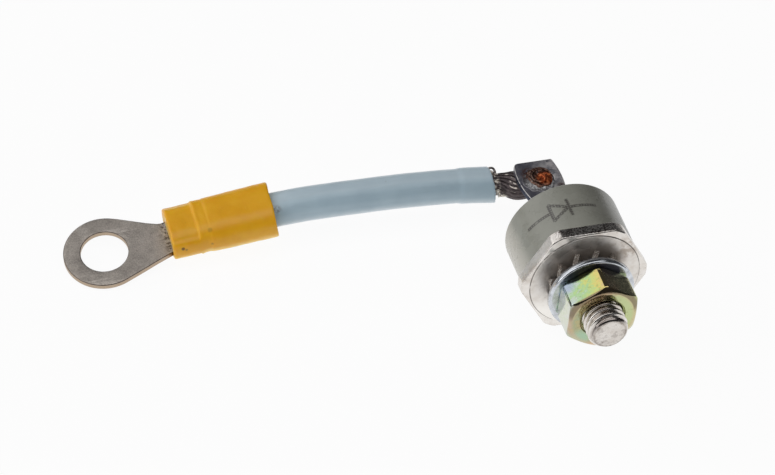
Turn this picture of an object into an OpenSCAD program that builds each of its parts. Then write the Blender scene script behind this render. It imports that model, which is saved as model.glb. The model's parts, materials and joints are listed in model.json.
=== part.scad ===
// Stud rectifier diode with its mounting hardware, a short insulated lead and a crimped ring terminal.
// Millimetres, +Z up. The diode lies on one flat of its hexagon, with the stud towards -Y.
// The origin is the centre of the seating face, on the axis of the stud.
// The diode itself is modelled upright, stud down, and laid on its side by lay_down().

/* [Base and stud] */
// Width across the flats of the hexagon
hex_af = 17; // [15:0.5:20]
// Height of the hexagon above the seating face
hex_h = 2; // [1.6:0.05:6]
// Depth that turning takes off each corner of the hexagon
corner_cut = 0.47; // [0.1:0.01:0.9]
// Height of the turned seat below the hexagon
seat_h = 0.15; // [0.05:0.05:0.4]
// Distance from the flats in to the edge of the turned seat
seat_inset = 0.4; // [0.2:0.1:1]
// Outside diameter of the stud's thread
stud_d = 6; // [5:0.5:7]
// Length of the stud below the seating face
stud_l = 11.4; // [9:0.1:16]
// Radius lost in the tapered end of the stud
stud_taper = 0.5; // [0.2:0.1:0.8]
// Length of the tapered end of the stud
stud_lead_in = 0.9; // [0.3:0.1:1.5]

/* [Die stack] */
// Diameter of the pedestal that carries the die
pedestal_d = 12; // [10:0.5:13]
// Height of the pedestal above the hexagon
pedestal_h = 1.25; // [0.8:0.05:1.6]
// Undercut of the pedestal, which locks the case
pedestal_undercut = 0.4; // [0.1:0.1:0.8]
// Diameter of the silicon die
die_d = 8.4; // [7.2:0.2:9]
// Thickness of the silicon die
die_t = 0.4; // [0.2:0.05:0.6]
// Thickness of each solder layer in the stack
solder_t = 0.15; // [0.1:0.05:0.25]
// Diameter of the copper disc on the die
contact_d = 6.4; // [6:0.1:6.8]
// Thickness of the copper disc on the die
contact_t = 1; // [0.6:0.1:1.4]
// Width of the silicone coat around the die
coat_w = 1.2; // [0.6:0.1:1.4]

/* [Case] */
// Height of the moulded case above the hexagon
case_h = 9.15; // [7:0.05:11]
// Distance from the flats in to the wall of the case
case_inset = 0.05; // [0.05:0.01:0.5]
// Radius that the wall gains from its foot to its top
case_flare = 0.03; // [0:0.01:0.04]
// Rounding of the top edge
case_round = 0.3; // [0.2:0.1:1.5]

/* [Terminal tab] */
// Thickness of the tab's strip
tab_t = 1; // [0.8:0.1:1.2]
// Width of the tab's paddle
tab_w = 6.6; // [6:0.1:7.4]
// Width of the strip below the paddle
neck_w = 4; // [3:0.1:4.4]
// Height of the tab's end above the seating face
tab_top = 25.5; // [24.5:0.1:28]
// Distance from the tab's end down to the hole's centre
hole_drop = 3.9; // [3.4:0.1:5]
// Diameter of the hole in the tab
tab_hole_d = 4.2; // [3.8:0.1:4.6]
// Radius of the paddle's bowed sides
paddle_r = 20; // [16:0.5:24]
// Radius about the hole that the paddle's end corners are trimmed to
paddle_trim_r = 4.75; // [4.4:0.05:4.8]
// Length of the foot that is soldered to the copper disc
foot_l = 2.4; // [1.8:0.1:2.5]
// Inside radius of the bend between foot and strip
foot_bend_r = 0.6; // [0.3:0.1:1]

/* [Tab solder] */
// Width of the solder pool round the hole's edge
pool_lip = 0.5; // [0.2:0.1:1]
// Height of the solder pool on the tab
pool_h = 0.4; // [0.2:0.05:0.6]
// Height of the solder that runs down the strands below the tab
pool_drop = 0.9; // [0.4:0.1:1.2]

/* [Hardware on the stud] */
// Outside diameter of the toothed lock washer
lock_od = 11.2; // [10.4:0.1:12]
// Diameter of the lock washer's plain rim
lock_rim_d = 8.6; // [8:0.1:9]
// Sheet thickness of the lock washer
lock_t = 0.7; // [0.5:0.05:0.9]
// Height of the lock washer over its twisted teeth
lock_h = 2.3; // [1.8:0.1:2.5]
// Number of teeth on the lock washer
lock_teeth = 12; // [8:1:13]
// Angle that the teeth are twisted by
lock_twist = 58; // [50:1:70]
// Turn of the lock washer's teeth about the stud
lock_turn = 7; // [0:1:29]
// Outside diameter of the plain washer
washer_od = 12.6; // [11:0.1:15]
// Thickness of the plain washer
washer_t = 1; // [0.6:0.1:1.6]
// Width of the nut across its flats
nut_af = 10; // [9.5:0.5:13]
// Height of the nut
nut_h = 4.9; // [4:0.1:6]
// Diameter at which the nut's chamfers start
nut_face_d = 9.5; // [8:0.1:9.5]
// Depth that forming takes off each corner of the nut
nut_corner_cut = 0.25; // [0.1:0.05:0.4]
// Turn of the nut from a corner upward
nut_turn = 2; // [0:1:30]
// Radial play of the washers on the stud
washer_play = 0.25; // [0.1:0.05:0.4]

/* [Lead] */
// Diameter of the bunched copper strands
core_d = 3.3; // [2.8:0.1:3.6]
// Wall of the lead's insulation
insulation_t = 0.85; // [0.5:0.05:1]
// Width of the strands inside the crimped barrel
core_crimp_w = 4.2; // [3.6:0.1:4.6]
// Height of the strands inside the crimped barrel
core_crimp_h = 2.4; // [2:0.1:2.8]
// Half width that the strands gain where the sleeve grips the insulation
core_squeeze = 0.25; // [0.1:0.05:0.3]
// Half width that the strands gain below the tab
spread_gain = 0.4; // [0.2:0.05:0.5]
// Half height that the strands lose below the tab
spread_loss = 0.15; // [0.05:0.05:0.3]

/* [Ring terminal] */
// Outside diameter of the ring
ring_od = 11.9; // [10:0.1:13]
// Diameter of the ring's hole
ring_hole_d = 6.9; // [6.4:0.1:7.5]
// Thickness of the ring and its tongue
plate_t = 0.95; // [0.6:0.05:1.2]
// Distance from the ring's centre to the sleeve
tongue_l = 9.75; // [8:0.05:12]
// Width of the tongue where it meets the sleeve
tongue_w = 5.2; // [4:0.1:5.6]
// Wall of the crimped barrel
barrel_wall = 0.9; // [0.6:0.1:1.2]
// Length of the crimped barrel inside the sleeve
barrel_l = 7.4; // [6:0.1:9]
// Height of the barrel's axis above the middle of the ring's sheet
barrel_rise = 1; // [0.6:0.1:1.1]
// Length of the fold that lifts the tongue to the barrel
ramp_l = 1.1; // [0.8:0.1:1.5]
// Distance from the tongue's edges in to the fold
ramp_inset = 0.5; // [0.3:0.1:0.8]

/* [Crimp sleeve] */
// Width of the flattened sleeve
sleeve_w = 8.3; // [8:0.1:10]
// Length of the sleeve
sleeve_l = 15.4; // [13:0.1:20]
// Wall of the sleeve
sleeve_t = 0.75; // [0.5:0.05:1]
// Depth of the mark that the crimping tool left
dent_depth = 0.25; // [0.1:0.05:0.35]
// Length of the mark that the crimping tool left
dent_l = 3.4; // [2:0.1:5]
// Distance from the sleeve's end to the mark
dent_gap = 1; // [0.5:0.1:2]

/* [Hidden] */
$fn = 96;
cut = 0.01;

// Heights in the upright diode, counted from the seating face
pedestal_top = hex_h + pedestal_h;
die_z = pedestal_top + solder_t;
contact_solder_z = die_z + die_t;
contact_z = contact_solder_z + solder_t;
foot_solder_z = contact_z + contact_t;
foot_z = foot_solder_z + solder_t;
case_top = hex_h + case_h;
hole_z = tab_top - hole_drop;
washer_z = -lock_h;
nut_z = washer_z - washer_t;

// Radii in the upright diode
hex_corner_r = hex_af / sqrt(3) - corner_cut;
seat_r = hex_af / 2 - seat_inset;
case_foot_r = hex_af / 2 - case_inset;
case_top_r = case_foot_r + case_flare;
washer_bore_r = stud_d / 2 + washer_play;

// Sizes of the crimped end
barrel_w = core_crimp_w + 2 * barrel_wall;
barrel_h = core_crimp_h + 2 * barrel_wall;
sleeve_h = barrel_h + 2 * sleeve_t;
barrel_web = 1.2;
barrel_x = tongue_l + 0.15;
barrel_end = barrel_x + barrel_l;
insulation_x = barrel_end + 0.6;
sleeve_end = tongue_l + sleeve_l;

// Attitude of the ring terminal: its sheet leans towards the front and its tongue climbs to the lead
lug_turn = [11, -6.5, 0];
lug_place = [-63.5, 27.05];
lug_upright = cos(lug_turn[0]) * cos(lug_turn[1]);
lug_lean = sqrt(1 - lug_upright * lug_upright);
lug_z = -hex_af / 2 + ring_od / 2 * lug_lean + plate_t / 2 * lug_upright;

// Free stretch of the lead, from the crimp sleeve to the bared end
lead_points = [
    [-34, 26.7, -2.5],
    [-30, 26.4, -2.2],
    [-26, 26.1, -2],
    [-22, 25.9, -1.9],
    [-18, 25.7, -1.9],
    [-14, 25.5, -2],
    [-10, 25.3, -2.2],
    [-6.1, 25, -2.5],
];
// The bared strands, which pass under the tab and hook up through its hole; offsets from the hole's centre
hook_points = [
    [-4.7, 2.9, -2.4],
    [-3.2, 2.1, -2.3],
    [-1.9, 1.3, -1.9],
    [-0.8, 0.6, -1.1],
    [0, 0.1, 0],
    [0.3, -0.1, 1.3],
];
hook_up = [-0.6, 0.4, 0.7];
core_sides = 8;
insulation_sides = 12;

function unit(v) = v / norm(v);

// A point of the ring terminal's own frame, moved to where the terminal lies
function tip_x(p, a) = [p[0], p[1] * cos(a) - p[2] * sin(a), p[1] * sin(a) + p[2] * cos(a)];
function tip_y(p, a) = [p[0] * cos(a) + p[2] * sin(a), p[1], p[2] * cos(a) - p[0] * sin(a)];
function lug_vector(p) = tip_y(tip_x(p, lug_turn[0]), lug_turn[1]);
function lug_point(x) = [lug_place[0], lug_place[1], lug_z] + lug_vector([x, 0, barrel_rise]);

// The lead's stations: a centre, and the half width and half height of the strands there
crimped = [core_crimp_w / 2, core_crimp_h / 2];
squeezed = [core_d / 2 + core_squeeze, barrel_h / 2 - insulation_t];
free = [core_d / 2, core_d / 2];
spread = [core_d / 2 + spread_gain, core_d / 2 - spread_loss];
stations = concat(
    [[lug_point(barrel_x + barrel_web), crimped]],
    [[lug_point(barrel_end), crimped]],
    [[lug_point(insulation_x), squeezed]],
    [[lug_point(sleeve_end), squeezed]],
    [for (p = lead_points) [p, free]],
    [for (p = hook_points) [[p[0], hole_z + p[1], p[2]], p[2] < -1.5 ? spread : free]]
);
first_insulated = 2;
last_insulated = 3 + len(lead_points);

function tangent(i) = unit(stations[min(i + 1, len(stations) - 1)][0] - stations[max(i - 1, 0)][0]);
function upward(i) = let (f = i / (len(stations) - 1)) (1 - f) * lug_vector([0, 0, 1]) + f * hook_up;
function station_ring(i, wall, sides) =
    let (along = tangent(i), side = unit(cross(upward(i), along)), up = cross(along, side))
    [for (k = [0:sides - 1]) stations[i][0]
        + side * (stations[i][1][0] + wall) * cos(360 * k / sides)
        + up * (stations[i][1][1] + wall) * sin(360 * k / sides)];

// Sweeps a tube over a run of the lead's stations, a wall's thickness outside the strands
module swept_tube(from, to, wall, sides) {
    rings = to - from;
    points = [for (i = [from:to]) each station_ring(i, wall, sides)];
    near_end = [[for (k = [0:sides - 1]) k]];
    far_end = [[for (k = [0:sides - 1]) rings * sides + sides - 1 - k]];
    sides_faces = [for (i = [0:rings - 1], k = [0:sides - 1])
        let (a = i * sides + k, b = i * sides + (k + 1) % sides)
        each [[a, a + sides, b + sides], [a, b + sides, b]]];
    polyhedron(points = points, faces = concat(near_end, far_end, sides_faces));
}

// Lays the upright diode on its side, stud towards -Y
module lay_down() {
    rotate([-90, 0, 0]) children();
}

// Places a piece of the ring terminal: X runs from the ring's centre to the lead
module on_lug() {
    translate([lug_place[0], lug_place[1], lug_z]) rotate(lug_turn) children();
}

// A flat oval with round ends
module racetrack(w, h) {
    square([w - h, h], center = true);
    for (s = [-1, 1]) translate([s * (w - h) / 2, 0]) circle(d = h);
}

// A bar of flat oval section along X, at the height of the barrel
module lug_bar(x0, x1, w, h) {
    translate([x0, 0, barrel_rise]) rotate([90, 0, 90]) linear_extrude(x1 - x0) racetrack(w, h);
}

module hexagon_prism(af, z0, z1) {
    translate([0, 0, z0]) cylinder(h = z1 - z0, d = af / cos(30), $fn = 6);
}

// Base and stud, turned and forged as one piece
module pedestal() {
    foot_r = pedestal_d / 2 - pedestal_undercut;
    translate([0, 0, hex_h]) cylinder(h = pedestal_h, r1 = foot_r, r2 = pedestal_d / 2);
}

module stud() {
    tip_z = -stud_l + stud_lead_in;
    translate([0, 0, tip_z]) cylinder(h = seat_h - tip_z, d = stud_d);
    translate([0, 0, -stud_l])
        cylinder(h = stud_lead_in, r1 = stud_d / 2 - stud_taper, r2 = stud_d / 2);
}

module base_stud() {
    color("silver") lay_down() {
        intersection() {
            hexagon_prism(hex_af, seat_h, hex_h);
            translate([0, 0, seat_h]) cylinder(h = hex_h - seat_h, r = hex_corner_r);
        }
        cylinder(h = seat_h, r = seat_r);
        pedestal();
        stud();
    }
}

// The stack that carries the current through the case
module die_solder() {
    color("lightgray") lay_down() translate([0, 0, pedestal_top]) cylinder(h = solder_t, d = die_d);
}

module silicon_die() {
    color("dimgray") lay_down() translate([0, 0, die_z]) cylinder(h = die_t, d = die_d);
}

module contact_solder() {
    color("lightgray") lay_down() translate([0, 0, contact_solder_z]) cylinder(h = solder_t, d = contact_d);
}

module contact_disc() {
    color("peru") lay_down() translate([0, 0, contact_z]) cylinder(h = contact_t, d = contact_d);
}

module foot_solder_layer() {
    translate([-neck_w / 2, -foot_l, foot_solder_z]) cube([neck_w, foot_l + tab_t / 2, solder_t]);
}

module foot_solder() {
    color("lightgray") lay_down() foot_solder_layer();
}

// Soft coat over the edge of the die, sloping from the pedestal up to the disc
module coat_body() {
    rotate_extrude() polygon([
        [0, pedestal_top],
        [die_d / 2 + coat_w, pedestal_top],
        [die_d / 2 + coat_w / 2, contact_z],
        [contact_d / 2, contact_z + contact_t / 2],
        [0, contact_z + contact_t / 2],
    ]);
}

module stack_body() {
    translate([0, 0, pedestal_top]) cylinder(h = solder_t + die_t, d = die_d);
    translate([0, 0, contact_solder_z]) cylinder(h = foot_solder_z - contact_solder_z, d = contact_d);
}

module junction_coat() {
    color("white") lay_down() difference() {
        coat_body();
        stack_body();
    }
}

// Terminal tab: a strip with a soldered foot inside the case and a paddle with a hole outside it
module paddle_outline() {
    side_x = paddle_r - tab_w / 2;
    translate([0, hole_z]) intersection() {
        translate([-tab_w, -2 * hole_drop]) square([2 * tab_w, 3 * hole_drop]);
        translate([-side_x, 0]) circle(r = paddle_r);
        translate([side_x, 0]) circle(r = paddle_r);
        union() {
            translate([-tab_w, -2 * hole_drop]) square([2 * tab_w, 2 * hole_drop]);
            circle(r = paddle_trim_r);
        }
    }
}

module tab_outline() {
    difference() {
        union() {
            paddle_outline();
            translate([-neck_w / 2, foot_z + tab_t]) square([neck_w, hole_z - foot_z - tab_t]);
        }
        translate([0, hole_z]) circle(d = tab_hole_d);
    }
}

module foot_profile() {
    bend = tab_t + foot_bend_r;
    difference() {
        translate([-foot_l, foot_z]) square([foot_l + tab_t / 2, bend]);
        translate([-foot_l - cut, foot_z + tab_t])
            square([foot_l - tab_t / 2 - foot_bend_r + cut, foot_bend_r + cut]);
        translate([-tab_t / 2 - foot_bend_r, foot_z + bend]) circle(r = foot_bend_r);
    }
}

module terminal_body() {
    rotate([90, 0, 0]) linear_extrude(tab_t, center = true) tab_outline();
    rotate([90, 0, 90]) linear_extrude(neck_w, center = true) foot_profile();
}

module terminal_tab() {
    color("slategray") lay_down() terminal_body();
}

// Case, moulded round the stack and the foot of the tab
module case_outline() {
    polygon([
        [0, hex_h],
        [case_foot_r, hex_h],
        [case_top_r, case_top - case_round],
        [case_top_r - case_round, case_top],
        [0, case_top],
    ]);
    translate([case_top_r - case_round, case_top - case_round]) circle(r = case_round);
}

module case() {
    color("darkgray") lay_down() difference() {
        rotate_extrude() case_outline();
        pedestal();
        coat_body();
        stack_body();
        foot_solder_layer();
        terminal_body();
    }
}

// Toothed lock washer, with each tooth twisted so that its edges bite both ways
module lock_tooth() {
    tooth_w = (lock_h - lock_t * cos(lock_twist)) / sin(lock_twist);
    reach = (lock_od - lock_rim_d) / 2 + lock_t;
    translate([lock_rim_d / 2 - lock_t, 0, -lock_h / 2]) rotate([lock_twist, 0, 0])
        translate([0, -tooth_w / 2, -lock_t / 2]) cube([reach, tooth_w, lock_t]);
}

module lock_washer() {
    color("gray") lay_down() {
        translate([0, 0, -lock_h / 2 - lock_t / 2]) difference() {
            cylinder(h = lock_t, d = lock_rim_d);
            translate([0, 0, -cut]) cylinder(h = lock_t + 2 * cut, r = washer_bore_r);
        }
        for (i = [0:lock_teeth - 1]) rotate([0, 0, lock_turn + 360 * i / lock_teeth]) lock_tooth();
    }
}

module plain_washer() {
    color("lightsteelblue") lay_down() translate([0, 0, nut_z]) difference() {
        cylinder(h = washer_t, d = washer_od);
        translate([0, 0, -cut]) cylinder(h = washer_t + 2 * cut, r = washer_bore_r);
    }
}

// Hexagon nut with a chamfer on both faces and a countersunk thread
module nut_envelope() {
    corner_r = nut_af / sqrt(3) - nut_corner_cut;
    drop = (corner_r - nut_face_d / 2) * tan(30);
    rotate_extrude() polygon([
        [0, -nut_h],
        [nut_face_d / 2, -nut_h],
        [corner_r, drop - nut_h],
        [corner_r, -drop],
        [nut_face_d / 2, 0],
        [0, 0],
    ]);
}

module nut() {
    countersink = 0.3;
    color("goldenrod") lay_down() translate([0, 0, nut_z]) difference() {
        intersection() {
            rotate([0, 0, 30 + nut_turn]) hexagon_prism(nut_af, -nut_h, 0);
            nut_envelope();
        }
        translate([0, 0, -nut_h - cut]) cylinder(h = nut_h + 2 * cut, d = stud_d);
        translate([0, 0, -nut_h])
            cylinder(h = countersink, r1 = stud_d / 2 + countersink, r2 = stud_d / 2);
    }
}

// Solder that fills the tab's hole round the strands and pools on both faces
module tab_solder_body() {
    pool_r = tab_hole_d / 2 + pool_lip;
    dome_r = (pool_r * pool_r + pool_h * pool_h) / (2 * pool_h);
    pool_at = [-pool_lip / 2, hole_z - pool_lip / 2, tab_t / 2];
    translate([0, hole_z, -tab_t / 2]) cylinder(h = tab_t, d = tab_hole_d);
    translate(pool_at) intersection() {
        translate([0, 0, pool_h - dome_r]) sphere(r = dome_r);
        cylinder(h = pool_h, r = pool_r);
    }
    translate([0, hole_z, -tab_t / 2 - pool_drop])
        cylinder(h = pool_drop, r1 = tab_hole_d / 2 - pool_lip, r2 = pool_r);
}

module tab_solder() {
    color("lightgray") difference() {
        tab_solder_body();
        lay_down() terminal_body();
        strands();
    }
}

// The lead: bunched copper strands from the barrel to the tab, and the insulation over them
module strands() {
    swept_tube(0, len(stations) - 1, 0, core_sides);
}

module lead_conductor() {
    color("saddlebrown") difference() {
        strands();
        lay_down() terminal_body();
    }
}

module lead_insulation() {
    color("lightblue") difference() {
        swept_tube(first_insulated, last_insulated, insulation_t, insulation_sides);
        strands();
    }
}

// Ring terminal: ring, tongue and barrel from one sheet
module ring_outline() {
    end = [barrel_x + cut, tongue_w / 2];
    touch = atan2(end[1], end[0]) + acos(ring_od / 2 / norm(end));
    difference() {
        union() {
            circle(d = ring_od);
            polygon([
                [ring_od / 2 * cos(touch), ring_od / 2 * sin(touch)],
                [end[0], end[1]],
                [end[0], -end[1]],
                [ring_od / 2 * cos(touch), -ring_od / 2 * sin(touch)],
            ]);
        }
        circle(d = ring_hole_d);
    }
}

// The fold that lifts the tongue to the mouth of the barrel
module tongue_ramp() {
    ramp_x = tongue_l - ramp_l;
    mouth_h = plate_t / 2 + barrel_rise;
    rotate([90, 0, 0]) linear_extrude(tongue_w - 2 * ramp_inset, center = true) polygon([
        [ramp_x, -plate_t / 2],
        [ramp_x, plate_t / 2],
        [tongue_l, mouth_h],
        [barrel_x + cut, mouth_h],
        [barrel_x + cut, -plate_t / 2],
    ]);
}

module ring_terminal() {
    color("gainsboro") on_lug() {
        translate([0, 0, -plate_t / 2]) linear_extrude(plate_t) ring_outline();
        tongue_ramp();
        difference() {
            lug_bar(barrel_x, barrel_end, barrel_w, barrel_h);
            lug_bar(barrel_x + barrel_web, barrel_end + cut, core_crimp_w, core_crimp_h);
        }
    }
}

module crimp_sleeve() {
    dent_x = tongue_l + dent_gap;
    color("gold") on_lug() difference() {
        lug_bar(tongue_l, sleeve_end, sleeve_w, sleeve_h);
        lug_bar(tongue_l - cut, sleeve_end + cut, sleeve_w - 2 * sleeve_t, barrel_h);
        translate([dent_x, -sleeve_w / 4, barrel_rise + sleeve_h / 2 - dent_depth])
            cube([dent_l, sleeve_w, sleeve_t]);
    }
}

base_stud();
die_solder();
silicon_die();
contact_solder();
contact_disc();
foot_solder();
junction_coat();
terminal_tab();
case();
lock_washer();
plain_washer();
nut();
tab_solder();
lead_conductor();
lead_insulation();
ring_terminal();
crimp_sleeve();
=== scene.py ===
# %% [markdown]
# # A stud rectifier diode with its lead and ring terminal
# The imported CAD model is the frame: it fixes every size and place. Each step below dresses one piece of it.
# Lengths in this file are millimetres, because the drawings of such parts are, and `MM` turns them into metres
# at the last moment, when a mesh is made.

# %% The frame
import json
import math

import bmesh
import bpy
import numpy as np
from mathutils import Matrix, Vector, noise

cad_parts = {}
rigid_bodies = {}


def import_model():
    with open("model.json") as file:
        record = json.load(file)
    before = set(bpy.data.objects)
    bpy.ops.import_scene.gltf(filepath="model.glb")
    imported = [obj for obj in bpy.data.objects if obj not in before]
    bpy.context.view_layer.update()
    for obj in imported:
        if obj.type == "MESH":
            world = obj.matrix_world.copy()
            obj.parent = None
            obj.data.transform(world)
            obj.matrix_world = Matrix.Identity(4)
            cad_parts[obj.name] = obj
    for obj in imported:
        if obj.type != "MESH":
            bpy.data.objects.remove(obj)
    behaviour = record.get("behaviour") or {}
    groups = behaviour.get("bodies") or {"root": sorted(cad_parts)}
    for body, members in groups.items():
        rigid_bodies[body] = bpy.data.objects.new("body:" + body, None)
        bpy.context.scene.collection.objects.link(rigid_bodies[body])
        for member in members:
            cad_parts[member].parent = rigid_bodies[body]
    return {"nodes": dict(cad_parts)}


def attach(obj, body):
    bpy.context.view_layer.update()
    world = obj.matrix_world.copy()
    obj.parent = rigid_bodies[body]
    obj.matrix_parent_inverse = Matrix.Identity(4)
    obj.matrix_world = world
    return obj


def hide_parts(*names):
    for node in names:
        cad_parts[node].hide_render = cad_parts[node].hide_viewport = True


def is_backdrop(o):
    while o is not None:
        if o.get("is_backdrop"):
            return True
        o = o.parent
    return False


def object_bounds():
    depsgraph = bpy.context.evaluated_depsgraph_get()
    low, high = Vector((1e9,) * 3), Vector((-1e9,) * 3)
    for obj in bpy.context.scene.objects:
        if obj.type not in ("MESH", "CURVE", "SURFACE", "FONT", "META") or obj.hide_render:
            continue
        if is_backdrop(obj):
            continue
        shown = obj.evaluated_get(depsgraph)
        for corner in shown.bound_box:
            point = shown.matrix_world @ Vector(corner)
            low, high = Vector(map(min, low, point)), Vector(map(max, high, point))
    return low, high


for leftover in list(bpy.data.objects):
    bpy.data.objects.remove(leftover)
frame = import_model()
cad_box = [list(corner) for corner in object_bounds()]
scene = bpy.context.scene
scene.view_settings.view_transform = "Standard"
MM = 0.001
print("CAD nodes:", sorted(frame["nodes"]))

# %% [markdown]
# ## The camera
# The photo was taken from above and a little to the left, with a long lens, so edges that are parallel on the part
# stay almost parallel in the picture. The angles were worked out from the hexagon, the nut and the ring, and the
# small roll puts the part at the slant it has in the photo, while the part itself lies level on its flat.

# %% Camera
azimuth, elevation, roll = (math.radians(a) for a in (-18.157, 42.141, 3.9))
camera_place = Vector((-140.94, -339.02, 336.68)) * MM
camera = bpy.data.objects.new("camera", bpy.data.cameras.new("camera"))
camera.data.sensor_width, camera.data.lens = 36, 163.28
camera.data.clip_start, camera.data.clip_end = 0.01, 20
turn = Matrix.Rotation(azimuth, 4, "Z") @ Matrix.Rotation(math.pi / 2 - elevation, 4, "X")
camera.matrix_world = Matrix.Translation(camera_place) @ turn @ Matrix.Rotation(roll, 4, "Z")
scene.collection.objects.link(camera)
scene.camera = camera
print("camera at", [round(x, 4) for x in camera.matrix_world.translation])

# %% [markdown]
# ## Light and floor
# The part lay on a lit white table in a dim room. Its undersides are bright, while faces that mirror the room come
# out dark. So the room is a dim grey world with three soft lamps: a wide one overhead, one at the back on the left
# and a small one on the left. The floor is a white sheet that glows, and the small share of plain shading that is
# left to it keeps a faint shadow under the part. Seen directly, the room is as white as the sheet.

# %% Room, lamps and floor
scene.world = bpy.data.worlds.new("dim_room")


def soft_lamp(name, place, target, width, height, power):
    lamp = bpy.data.lights.new(name, "AREA")
    lamp.shape = "RECTANGLE"
    lamp.size, lamp.size_y, lamp.energy = width, height, power
    made = bpy.data.objects.new(name, lamp)
    made.location = place
    made.rotation_euler = (Vector(target) - Vector(place)).to_track_quat("-Z", "Y").to_euler()
    scene.collection.objects.link(made)


soft_lamp("lamp_overhead", (-0.30, -0.12, 0.70), (-0.30, -0.12, 0.0), 1.7, 0.54, 4.2)
soft_lamp("lamp_back_left", (-0.61, 0.61, 0.51), (0.0, 0.0, 0.0), 1.2, 0.8, 3.0)
soft_lamp("lamp_left", (-0.85, -0.05, 0.30), (0.0, 0.0, 0.0), 0.7, 0.4, 1.6)

floor_z, floor_half, air = cad_box[0][2], 0.3, 0.00002
corners = [(floor_half * x, floor_half * y, floor_z - air) for x, y in ((-1, -1), (1, -1), (1, 1), (-1, 1))]
floor_mesh = bpy.data.meshes.new("floor")
floor_mesh.from_pydata(corners, [], [(0, 1, 2, 3)])
floor = bpy.data.objects.new("floor", floor_mesh)
scene.collection.objects.link(floor)
floor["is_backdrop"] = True
print("floor at", round(floor_z * 1000, 2), "mm")

# %% [markdown]
# ## Writing finishes as expressions
# A finish is a network of nodes. Written node by node it is long and hard to read, so one small class wraps a
# socket and lets Python's own operators add the Math nodes, and a second class makes every other node with one
# method. `Finish.node` takes the node's type, then its settings, then what goes into its sockets. A finish also
# keeps its colour and relief so far, as a real surface has stains and wear over its ground: `tint` lays a colour over
# it by a share that can change from point to point, and `bump` adds relief.


# %% Sockets and finishes
def both_ways(operation):
    """An operator's two methods: value first, and value second, as in 1 - mask."""
    return (
        lambda value, other: value.math(operation, value, other),
        lambda value, other: value.math(operation, other, value),
    )


class Value:
    """One output socket. Operators on it add Math nodes."""

    __add__, __radd__ = both_ways("ADD")
    __sub__, __rsub__ = both_ways("SUBTRACT")
    __mul__, __rmul__ = both_ways("MULTIPLY")
    __truediv__, __rtruediv__ = both_ways("DIVIDE")
    __lt__, __gt__ = both_ways("LESS_THAN")

    def __init__(self, finish, socket):
        self.finish, self.socket = finish, socket

    def math(self, operation, *terms):
        return self.finish.node("ShaderNodeMath", {"operation": operation}, dict(enumerate(terms)))

    def __abs__(self):
        return self.math("ABSOLUTE", self)

    def root(self):
        return self.math("SQRT", self)

    def sine(self):
        return self.math("SINE", self)

    def fraction(self):
        return self.math("FRACT", self)

    def angle_to(self, other):
        return self.math("ARCTAN2", self, other)

    def step(self, low, high):
        """0 below low, 1 above high and a smooth rise between them."""
        sockets = {"Value": self, "From Min": low, "From Max": high}
        return self.finish.node("ShaderNodeMapRange", {"interpolation_type": "SMOOTHSTEP"}, sockets)


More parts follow.
